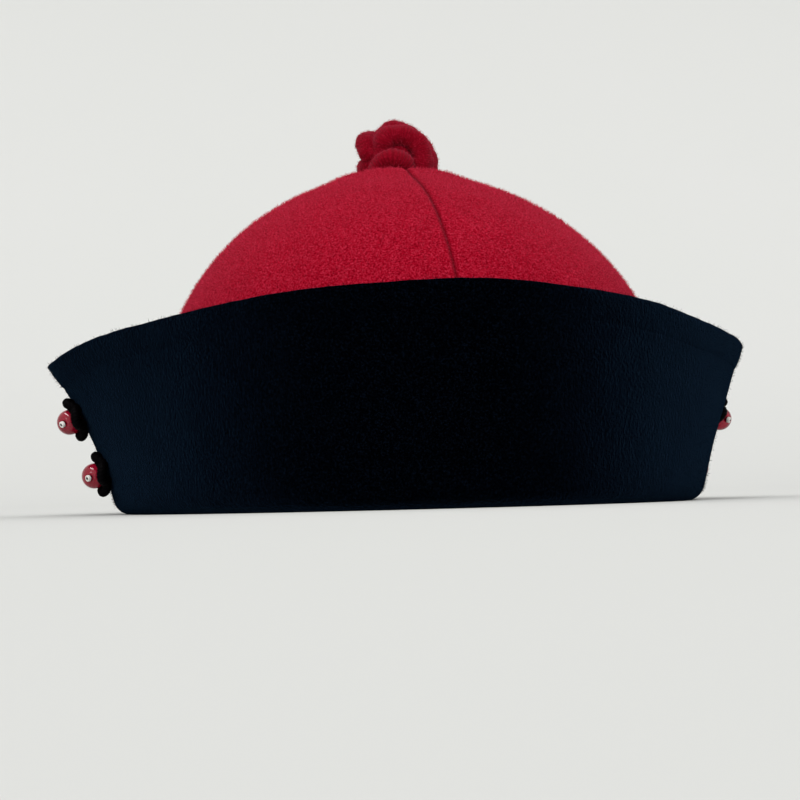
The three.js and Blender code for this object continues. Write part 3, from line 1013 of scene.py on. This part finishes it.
def brim_nap(vertex):
    """The nap is thickest along the cuff's edge and the roll, where it shows as an outline."""
    spot = (vertex.co - HEAD) / MM
    if spot.z < BARE_FOOT:
        return 0.0
    azimuth = math.atan2(spot.x / HEAD_HALF_WIDTH, -spot.y / HEAD_HALF_LENGTH)
    below_edge = section_at(azimuth).y - spot.z
    return 1 - NAP_LOSS * smooth_step(min(below_edge, spot.z), THICK_NAP, THIN_NAP)


grow_nap(brim, per_square_mm=0.74, length=0.9, seed=31, weight_of=brim_nap)
finish(brim, black_felt, "black_felt", "brim")
report(brim)

# %% [markdown]
# ## The sweatband
# A sweatband of ribbed ribbon lies against the inside of the head opening and keeps the felt from
# the brow. Grosgrain has fat weft ribs that stand across the ribbon. They are real ridges here:
# the ring has two columns for each rib, and every second column is pushed towards the head. The
# two selvedges are flatter and thicker, as on a woven ribbon. Small stitches along the bottom
# hold the ribbon to the lip.

# %% The ribbon
RIB_COUNT = 720
RIB_HEIGHT = 0.16
RIBBON = 0.5
BAND_GAP = 0.8
BAND_BOTTOM = 3
BAND_TOP = 28
BAND_LEAN = 2.1
WORN_WAVE = 0.125
WORN_WAVES = 5
# For each row, its share of the ribbon's height and how far the selvedge stands in there, in mm.
BAND_ROWS = (
    (0, 0.14), (0.02, 0.18), (0.06, 0.16), (0.07, 0), (0.3, 0),
    (0.6, 0), (0.93, 0), (0.94, 0.16), (0.98, 0.18), (1, 0.14),
)


def band_place(azimuth, row):
    """The ribbon with its ribs: odd columns stand further in, except at the selvedges."""
    share, selvedge = BAND_ROWS[row]
    variation = WORN_WAVE * math.sin(WORN_WAVES * azimuth) * math.sin(math.pi * share)
    out = -BAND_GAP - BAND_LEAN * share + variation
    column = round(azimuth / math.pi * RIB_COUNT)
    if selvedge:
        out -= selvedge
    else:
        out += RIB_HEIGHT if column % 2 else -RIB_HEIGHT
    return out, BAND_BOTTOM + (BAND_TOP - BAND_BOTTOM) * share


sweatband = start_ring("ribbon_sweatband", 2 * RIB_COUNT)
loft_ring(sweatband, len(BAND_ROWS), band_place)
thicken(sweatband, RIBBON, 0)
apply_modifiers(sweatband)
bpy.ops.object.shade_smooth()
report(sweatband)

# %% One stitch


def stitch(name, length, width):
    """One stitch along X: a flattened bead of thread, pulled in at both ends."""
    piece = begin(
        bpy.ops.mesh.primitive_uv_sphere_add, name, segments=6, ring_count=6, radius=0.5 * MM
    )
    bpy.ops.transform.rotate(value=math.radians(90), orient_axis="Y", center_override=(0, 0, 0))
    bpy.ops.transform.resize(value=(length, width, width * 0.8), center_override=(0, 0, 0))
    bpy.ops.object.mode_set(mode="OBJECT")
    bpy.ops.object.shade_smooth()
    return piece


band_stitches = stitch("sweatband_stitches", length=3.2, width=0.5)
report(band_stitches)

# %% The row of stitches
STITCH_COUNT = 150
STITCH_SLANT = 0.25
STITCH_OUT = -1.35
STITCH_RISE = 1


def stitch_spot(azimuth):
    return head_point(azimuth, STITCH_OUT, BAND_BOTTOM + STITCH_RISE)


def stitch_place(azimuth):
    """A matrix that lays a stitch along the ribbon, with one end raised, and Z to the head."""
    here = stitch_spot(azimuth)
    level = (stitch_spot(azimuth + 0.01) - here).normalized()
    along = (level + Vector((0, 0, STITCH_SLANT))).normalized()
    inward = (head_point(azimuth, 0, 0) - head_point(azimuth, 1, 0)).normalized()
    side = inward.cross(along).normalized()
    turned = Matrix((along, side, along.cross(side))).transposed().to_4x4()
    return Matrix.Translation(here) @ turned


def copy_joined(piece, places):
    """Copies the piece to each place, a matrix, and joins the copies into one mesh."""
    shape = bmesh.new()
    for place in places:
        part = piece.data.copy()
        part.transform(place)
        shape.from_mesh(part)
        bpy.data.meshes.remove(part)
    shape.to_mesh(piece.data)
    shape.free()
    piece.data.update()


copy_joined(
    band_stitches, [stitch_place(2 * math.pi * n / STITCH_COUNT) for n in range(STITCH_COUNT)]
)
print("the ribbon is sewn on with", STITCH_COUNT, "stitches")

# %% [markdown]
# ## The ball knot
# A tube of red knitted fabric, about 8 mm across, is knotted into a ball on the apex. The knot is
# drawn as one closed path: a full strand low at the front, a wide arch over it, a lobe at each
# side and two strands behind. A curve is the natural tool for this. It is given a round bevel,
# and its radius swells and shrinks at each point, which makes the fine cross ribs of the knit
# where the tube is squeezed. The curve is then turned into a mesh, and each vertex is told how
# deep it lies between two ribs, because shade is painted into the wool's colour there.

# %% The knot's path
KNOT_TURN = math.radians(-10)
KNOT_DROP = 12.7
KNOT_SPACING = 0.21
KNOT_PATH = (
    (-5, -6, -8.6), (-3.9, -7.8, -5.4), (-0.8, -8.8, -3.9), (2.3, -7.8, -5.4), (3.5, -6, -8.6),
    (4.6, -3.6, -10), (7.4, -0.8, -9.6), (9.8, 1.2, -6.8), (10.5, 2, -3.6), (9.6, 4, 0.4),
    (7.2, 6.2, 4), (4, 6.6, 7.4), (0.6, 6.2, 8.9), (-2.8, 6, 7), (-5.4, 5, 4.2), (-8, 2.4, 3.6),
    (-8.8, -1.6, 2.7), (-7.4, -3, -0.8), (-3.5, 0.2, -2.2), (1.8, -0.2, -5), (5, -2.8, -8),
    (7.9, -3.9, -6.6), (9, -4, -3), (8.5, -4.2, 0.4), (6.7, -4.6, 3), (4.1, -5, 4.7),
    (1.2, -5, 5.1), (-1.6, -5.2, 4.7), (-3.2, -5, 2.6), (-3.6, -4, -0.4), (-5.4, -2.8, -3.6),
    (-8.2, -0.8, -5), (-8.5, 3.2, -3.8), (-6, 7, -1.6), (-1.8, 9, -0.4), (2.6, 8.6, -1.2),
    (5.4, 6, -4.6), (4, 3.2, -8.2), (-0.8, 0.8, -9.8), (-4.2, -3, -10),
)
knot_low, knot_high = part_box("top_knot")
KNOT_MIDDLE = Vector(((knot_low[0] + knot_high[0]) / 2, 0, knot_high[2] - KNOT_DROP * MM))


def smooth_closed(points, spacing):
    """A closed curve through the points, as points about a spacing apart."""
    corners = [Vector(point) for point in points]
    made = []
    for first, corner in enumerate(corners):
        gap = (corners[(first + 1) % len(corners)] - corner).length
        steps = max(int(gap / spacing), 1)
        made += [on_curve(corners, first, step / steps) for step in range(steps)]
    return made


def lengths_along(points):
    """How far along the line each point lies."""
    runs = [0]
    for before, after in zip(points, points[1:]):
        runs.append(runs[-1] + (after - before).length)
    return runs


path = smooth_closed(KNOT_PATH, KNOT_SPACING)
path_runs = lengths_along(path)
print("the knotted tube is", round(path_runs[-1]), "mm long")

# %% Tubes from curves


def new_curve(name, points, closed, dimensions="3D"):
    """A curve object that runs straight from point to point, and its spline."""
    curve = bpy.data.curves.new(name, "CURVE")
    curve.dimensions = dimensions
    spline = curve.splines.new("POLY")
    spline.points.add(len(points) - 1)
    for number, point in enumerate(points):
        spline.points[number].co = (*point, 1)
    spline.use_cyclic_u = closed
    return bpy.data.objects.new(name, curve), spline


def tube(name, points, radii, closed, sides=4, profile=None, turns=None):
    """A mesh tube along points in metres, with a radius for each point.

    A profile gives it another section than a circle, and turns twist that section along it.
    """
    piece, spline = new_curve(name, points, closed)
    piece.data.bevel_resolution = sides
    piece.data.use_fill_caps = not closed
    if profile:
        piece.data.bevel_mode = "OBJECT"
        piece.data.bevel_object = profile
    else:
        piece.data.bevel_depth = 1
    for number, radius in enumerate(radii):
        spline.points[number].radius = radius
        spline.points[number].tilt = turns[number] if turns else 0
    bpy.context.scene.collection.objects.link(piece)
    only(piece)
    bpy.ops.object.convert(target="MESH")
    piece = bpy.context.object
    bpy.ops.object.mode_set(mode="EDIT")
    bpy.ops.mesh.select_all(action="SELECT")
    bpy.ops.mesh.remove_doubles(threshold=SAME_SPOT)
    bpy.ops.mesh.normals_make_consistent(inside=False)
    bpy.ops.object.mode_set(mode="OBJECT")
    bpy.ops.object.shade_smooth()
    return piece


# %% The knotted tube
KNOT_TUBE = 3.7
RIB_PITCH = 0.72
BACK_RIBS = 0.05
FRONT_RIBS = 0.16
FRONT_START = 5.5
FRONT_FULL = 7.5
FRONT_SWELL = 0.2
SOFT_SWELL = 0.3
SOFT_PITCH = 4.3
KNOT_CREASE = 1.7
facing = Matrix.Rotation(KNOT_TURN, 3, "Z")


def rib_wave(run):
    return math.sin(2 * math.pi * run / RIB_PITCH)


def tube_radius(spot, run):
    """The front strand is the fullest, and its ribs stand out most."""
    front = smooth_step(-spot.y, FRONT_START, FRONT_FULL)
    ribs = (BACK_RIBS + (FRONT_RIBS - BACK_RIBS) * front) * rib_wave(run)
    return (KNOT_TUBE + FRONT_SWELL * front + SOFT_SWELL * math.sin(run / SOFT_PITCH) + ribs) * MM


radii = [tube_radius(spot, run) for spot, run in zip(path, path_runs)]
centres = [KNOT_MIDDLE + facing @ spot * MM for spot in path]
knot = tube("knit_ball_knot", centres, radii, True, sides=6)
displace(knot, KNOT_CREASE, texture=clouds("knot_folds", 5))
apply_modifiers(knot)
report(knot)

# %% How deep each point lies between its ribs
nearest_centre = KDTree(len(centres))
for number, centre in enumerate(centres):
    nearest_centre.insert(centre, number)
nearest_centre.balance()


def valley_depth(spot):
    run = path_runs[nearest_centre.find(spot)[1]]
    return 0.5 - 0.5 * rib_wave(run)


# Each point stores how much shade is painted into the wool between two ribs.
mark_points(knot, "painted_rib_shade", valley_depth)
print("the tube has", round(path_runs[-1] / RIB_PITCH), "ribs")

# %% The tail that holds the knot, and the stuffed core that the strands close round
TAIL_BOTTOM = 97.3
TAIL_STEPS = 12
TAIL_TUBE = 2
TAIL_RIBS = 0.12
TAIL_PITCH = 3
CORE_RADIUS = 8
CORE_SHIFT = Vector((0.9, 0, -0.5))
CORE_SHAPE = (1.05, 0.85, 1.08)


def join(piece, *others):
    """Joins other objects' meshes into the piece."""
    only(piece)
    for part in others:
        part.select_set(True)
    bpy.ops.object.join()


def tail_radius(step):
    return (TAIL_TUBE + TAIL_RIBS * math.sin(2 * math.pi * step / TAIL_PITCH)) * MM


tail_points = [Vector((KNOT_MIDDLE.x, 0, (TAIL_BOTTOM + step) * MM)) for step in range(TAIL_STEPS)]
tail_radii = [tail_radius(step) for step in range(TAIL_STEPS)]
tail = tube("tail", tail_points, tail_radii, False, sides=3)
core = begin(
    bpy.ops.mesh.primitive_uv_sphere_add, "core", segments=32, ring_count=20,
    location=KNOT_MIDDLE + CORE_SHIFT * MM, radius=CORE_RADIUS * MM,
)
bpy.ops.transform.resize(value=CORE_SHAPE)
bpy.ops.object.mode_set(mode="OBJECT")
bpy.ops.object.transform_apply(location=True, rotation=True, scale=True)
bpy.ops.object.shade_smooth()
join(knot, tail, core)
report(knot)

# %% [markdown]
# ## Knit and ribbon
# Each finish gets its own node tree. The knit is a deeper red than the felt, darker in soft
# patches, with shade painted into its colour between its ribs, and the fuzz of wool. The ribbon
# is worn: brownish stains follow a broad noise. Its colour turns lighter towards its foot, and a
# fine noise stands for its threads.

# %% The knit
KNIT_SHADE = (0.16, 0.0005, 0.006)
# The shade painted into the wool between the ribs.
KNIT_RIB_SHADE = (0.1, 0.0003, 0.003)
KNIT_FIBRE = (0.45, 0.02, 0.05)


def knit(name):
    material, tree, shader = new_material(name)
    where = object_place(tree)
    wool = noise(tree, where, scale=1400, detail=4, roughness=0.7)
    patches = noise(tree, where, scale=160, detail=2)
    stops = ((0.3, (0.15, 0.0005, 0.005)), (0.55, (0.27, 0.0015, 0.013)), (0.8, (0.46, 0.02, 0.05)))
    variation = blend(tree, spread(tree, patches, 0, 0.4), ramp(tree, wool, stops), KNIT_SHADE)
    # Painted shade: the wool's colour is darkened between the ribs.
    ribbed = blend(tree, spread(tree, attribute(tree, "painted_rib_shade"), 0, 0.55), variation, KNIT_RIB_SHADE)
    wire(tree, shader, {
        "Base Color": blend(tree, attribute(tree, "fibre"), ribbed, KNIT_FIBRE),
        "Roughness": spread(tree, wool, 0.85, 1),
        "Normal": bump(tree, wool, 0.0004, strength=0.6),
        "Specular IOR Level": 0.02,
        "Sheen Weight": 0.2,
        "Sheen Tint": (1, 0.25, 0.38),
    })
    return material


red_knit = knit("red_knit")
print("the knot's finish:", red_knit.name)

# %% The ribbon's weave
# The lighter colour that the ribbon turns towards its foot.
RIBBON_FOOT = (0.4, 0.37, 0.33)
RIBBON_THREAD = (0.14, 0.12, 0.1)


def ribbon(name):
    material, tree, shader = new_material(name)
    where = object_place(tree)
    stains = noise(tree, where, scale=45, detail=4, roughness=0.65)
    threads = noise(tree, where, scale=1800, detail=2, roughness=0.5)
    height = add_node(tree, "ShaderNodeSeparateXYZ", {0: where}).outputs["Z"]
    # The ribbon's colour turns lighter towards its foot, below 9 mm above the floor.
    lighter_foot = {"Value": height, "From Min": 0.003, "From Max": 0.009, "To Min": 1, "To Max": 0}
    variation = add_node(tree, "ShaderNodeMapRange", lighter_foot).outputs["Result"]
    stops = ((0.3, (0.12, 0.085, 0.06)), (0.5, (0.23, 0.2, 0.165)), (0.75, (0.3, 0.275, 0.24)))
    foot_lightened = blend(tree, variation, ramp(tree, stains, stops), RIBBON_FOOT)
    wire(tree, shader, {
        "Base Color": blend(tree, spread(tree, threads, 0, 0.5), foot_lightened, RIBBON_THREAD),
        "Roughness": spread(tree, stains, 0.6, 0.8),
        "Normal": bump(tree, threads, 0.0002, strength=0.5),
        "Specular IOR Level": 0.3,
    })
    return material


taupe_ribbon = ribbon("taupe_ribbon")
finish(sweatband, taupe_ribbon, "taupe_ribbon", "sweatband")
finish(band_stitches, taupe_ribbon, "taupe_ribbon")
print("the sweatband's finish:", taupe_ribbon.name)

# %% The knot's nap
CROWN_TOP = 107.5
FRONT_LOSS = 0.75
LOSS_START = 6
LOSS_FULL = 9


def knot_nap(vertex):
    """None on the tail inside the crown, and little on the ribbed front strand."""
    if vertex.co.z <= CROWN_TOP * MM:
        return 0.0
    forward = (KNOT_MIDDLE - vertex.co).dot(facing @ Vector((0, 1, 0))) / MM
    return 1 - FRONT_LOSS * smooth_step(forward, LOSS_START, LOSS_FULL)


grow_nap(knot, per_square_mm=2.6, length=0.85, seed=41, weight_of=knot_nap)
finish(knot, red_knit, "red_knit", "top_knot")
report(knot)

# %% [markdown]
# ## Cord and glass
# The cord is matt black, and a fine noise roughens its plies. The beads are pressed glass: half
# of the light passes through them, a soft noise swirls their colour between a deep and a clear
# red, and their gloss is hard. The seed beads are white glass that lets hardly any light through.

# %% The cord's dye


def cord(name, colour):
    material, tree, shader = new_material(name)
    plies = noise(tree, object_place(tree), scale=2200, detail=3)
    wire(tree, shader, {
        "Base Color": blend(tree, plies, toned(colour, 0.4), toned(colour, 1.8)),
        "Roughness": spread(tree, plies, 0.45, 0.7),
        "Normal": bump(tree, plies, 0.0002, strength=0.5),
        "Specular IOR Level": 0.03,
    })
    return material


black_cord = cord("black_cord", (0.0012, 0.0008, 0.0012))
print("the ornaments' cord:", black_cord.name)

# %% Two kinds of glass


def glass(name, deep, clear, through):
    """Pressed glass: deep and clear are colours of its body, through is how much light passes."""
    material, tree, shader = new_material(name)
    swirl = noise(tree, object_place(tree), scale=380, detail=3, roughness=0.5)
    wire(tree, shader, {
        "Base Color": blend(tree, swirl, deep, clear),
        "Roughness": spread(tree, swirl, 0.02, 0.07),
        "IOR": 1.5,
        "Transmission Weight": through,
    })
    return material


red_glass = glass("red_glass", (0.3, 0.001, 0.014), (0.7, 0.014, 0.06), through=0.5)
white_glass = glass("white_glass", (0.86, 0.84, 0.78), (0.95, 0.93, 0.89), through=0.05)
print("the beads:", red_glass.name, white_glass.name)

# %% [markdown]
# ## The side ornaments
# Each ornament is a black cord laid in a clover of four loops, as on a knotted frog fastening. A
# red glass bead sits in its middle, and a thread comes out of the bead's hole, goes through a
# tiny white seed bead and ends in a knot. The frame's boxes of the cord, the bead and the seed
# bead give the ornament's middle, the felt's outward direction and the thread's direction.

# %% A glass ball with a thread hole
BEAD_RADIUS = 4


def drilled_ball(name, radius, segments, rings):
    """A ball whose poles are opened and joined by a thread hole along Z."""
    piece = begin(
        bpy.ops.mesh.primitive_uv_sphere_add, name,
        segments=segments, ring_count=rings, radius=radius * MM,
    )
    choose(piece, "VERT", lambda v: v.co.xy.length < 0.00001)
    bpy.ops.mesh.delete(type="VERT")
    choose(piece, "EDGE", lambda e: e.is_boundary)
    bpy.ops.mesh.bridge_edge_loops()
    bpy.ops.mesh.select_all(action="SELECT")
    bpy.ops.mesh.normals_make_consistent(inside=False)
    bpy.ops.object.mode_set(mode="OBJECT")
    subdivide(piece)
    apply_modifiers(piece)
    bpy.ops.object.shade_smooth()
    return piece


# %% A seed bead
SEED_RADIUS = 1.05
SEED_HOLE = 0.48
SEED_LENGTH = 1.15
SEED_ROUNDING = 0.25


def cut_of_tube(name, radius, hole, length):
    """A seed bead: a short cut of glass tube along Z, with edges that the furnace rounded."""
    piece = begin(
        bpy.ops.mesh.primitive_cylinder_add, name,
        vertices=16, radius=radius * MM, depth=length * MM, end_fill_type="NOTHING",
    )
    bpy.ops.object.mode_set(mode="OBJECT")
    thicken(piece, radius - hole, -1)
    round_edges(piece, SEED_ROUNDING)
    subdivide(piece)
    apply_modifiers(piece)
    bpy.ops.object.shade_smooth()
    return piece


# %% The cord's section and its clover
CORD_RADIUS = 1.55
PLY_PITCH = 2.8
PLY_POINTS = 18
CLOVER_REACH = 4.2
CLOVER_LOBES = 1.5
CLOVER_SWIRL = 0.3
CLOVER_WEAVE = 0.7
WEAVE_START = 0.9
LOBE_RISE = 0.3
CLOVER_POINTS = 96
CLOVER_SPACING = 0.35


def ply_point(turn):
    """The section of a cord of three plies, 1 across its radius."""
    reach = 0.9 + 0.1 * abs(math.cos(1.5 * turn))
    return Vector((reach * math.cos(turn), reach * math.sin(turn), 0))


def clover_point(turn, lift):
    """The cord's middle, in mm. The upper loops stand out from the felt by the lift."""
    reach = CLOVER_REACH + CLOVER_LOBES * math.cos(4 * turn)
    swirl = turn + CLOVER_SWIRL * math.sin(4 * turn)
    weave = CLOVER_WEAVE * math.cos(8 * turn + WEAVE_START)
    rise = weave + LOBE_RISE * math.cos(4 * turn) + lift * math.sin(turn)
    return Vector((reach * math.cos(swirl), reach * math.sin(swirl), rise))


def full_turn(count, start=0.0):
    """Angles that divide a full turn evenly."""
    return [2 * math.pi * number / count + start for number in range(count)]


ply_points = [ply_point(turn) for turn in full_turn(PLY_POINTS)]
ply_profile, _ = new_curve("ply_profile", ply_points, True, dimensions="2D")
print("the clover is", round(2 * clover_point(0, 0).x, 1), "mm across")

# %% Where an ornament lies


def middle_of(node):
    low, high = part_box(node)
    return (Vector(low) + Vector(high)) / 2


def ornament_frame(cord_middle, bead_middle):
    """The ornament's directions: to the side, up along the felt, and out of the felt."""
    outward = (bead_middle - cord_middle).normalized()
    upward = outward.cross(Vector((0, -1, 0))).normalized()
    upward *= 1 if upward.z > 0 else -1
    return upward.cross(outward), upward, outward


def lay(spots, middle, directions):
    """Lays spots in mm in the ornament's directions, round its middle."""
    side, upward, outward = directions
    return [middle + (side * x + upward * y + outward * z) * MM for x, y, z in spots]


def place_along(piece, spot, axis):
    """Turns the piece's Z to the axis, moves it to the spot and puts both in its mesh."""
    piece.data.transform(Matrix.Translation(spot) @ axis.to_track_quat("Z", "Y").to_matrix().to_4x4())


# %% The cord, its inner ring and the thread
INNER_RADIUS = 2.6
INNER_LIFT = 0.4
INNER_POINTS = 40
THREAD_RADIUS = 0.24
THREAD_STEPS = 8


def lay_cord(place, middle, directions, lift):
    """The clover of plied cord, with a ring of the same cord inside it."""
    corners = [clover_point(turn, lift) for turn in full_turn(CLOVER_POINTS, math.pi / 4)]
    laid = smooth_closed(corners, CLOVER_SPACING)
    runs = lengths_along(laid)
    whole_turns = round(runs[-1] / PLY_PITCH)
    clover = tube(
        "cord_ornament_" + place, lay(laid, middle, directions), [CORD_RADIUS * MM] * len(laid), True,
        profile=ply_profile, turns=[2 * math.pi * whole_turns * run / runs[-1] for run in runs],
    )
    ring = [
        (INNER_RADIUS * math.cos(a), INNER_RADIUS * math.sin(a), INNER_LIFT)
        for a in full_turn(INNER_POINTS)
    ]
    inner = tube(
        "inner_" + place, lay(ring, middle, directions), [CORD_RADIUS * MM] * INNER_POINTS, True, sides=3
    )
    join(clover, inner)
    return clover, runs[-1]


def lay_thread(place, start, end, seed_way):
    """The bead's thread, and the knot that keeps the seed bead on it."""
    spots = [start.lerp(end, step / THREAD_STEPS) for step in range(THREAD_STEPS + 1)]
    thread = tube("thread_" + place, spots, [THREAD_RADIUS * MM] * len(spots), False, sides=2)
    end_knot = stitch("end_knot_" + place, length=0.55, width=0.7)
    place_along(end_knot, end, seed_way)
    join(thread, end_knot)
    return thread


# %% Four ornaments
# How far the upper loops of each side's ornaments stand out from the felt, in mm.
LOOP_LIFTS = {"right": -0.5, "left": 0.9}
SEED_TILT = 1.2
SEED_GAP = 0.1
THREAD_PAST_BEAD = 0.5
END_KNOT_SINK = 0.1
for place in ("right_upper", "right_lower", "left_upper", "left_lower"):
    cord_middle = middle_of("ornament_" + place)
    bead_middle = middle_of("bead_" + place)
    directions = ornament_frame(cord_middle, bead_middle)
    thread_way = (middle_of("stopper_" + place) - bead_middle).normalized()
    seed_way = (thread_way + directions[2] * SEED_TILT).normalized()
    seed_middle = bead_middle + thread_way * (BEAD_RADIUS + SEED_LENGTH / 2 + SEED_GAP) * MM

    lift = LOOP_LIFTS[place.split("_")[0]]
    ornament, cord_length = lay_cord(place, cord_middle, directions, lift)
    thread_start = bead_middle - thread_way * (BEAD_RADIUS + THREAD_PAST_BEAD) * MM
    thread_end = seed_middle + seed_way * (SEED_LENGTH / 2 - END_KNOT_SINK) * MM
    join(ornament, lay_thread(place, thread_start, thread_end, seed_way))
    finish(ornament, black_cord, "black_cord", "ornament_" + place)
    print("the cord of", place, "is", round(cord_length), "mm long")

    bead = drilled_ball("glass_bead_" + place, BEAD_RADIUS, 32, 20)
    place_along(bead, bead_middle, thread_way)
    finish(bead, red_glass, "red_glass", "bead_" + place)
    stopper = cut_of_tube("seed_bead_" + place, SEED_RADIUS, SEED_HOLE, SEED_LENGTH)
    place_along(stopper, seed_middle, seed_way)
    finish(stopper, white_glass, "white_glass", "stopper_" + place)
    report(ornament)

# %% Clear away the helpers, and finish
bpy.data.objects.remove(ply_profile)
bpy.data.objects.remove(fibre)
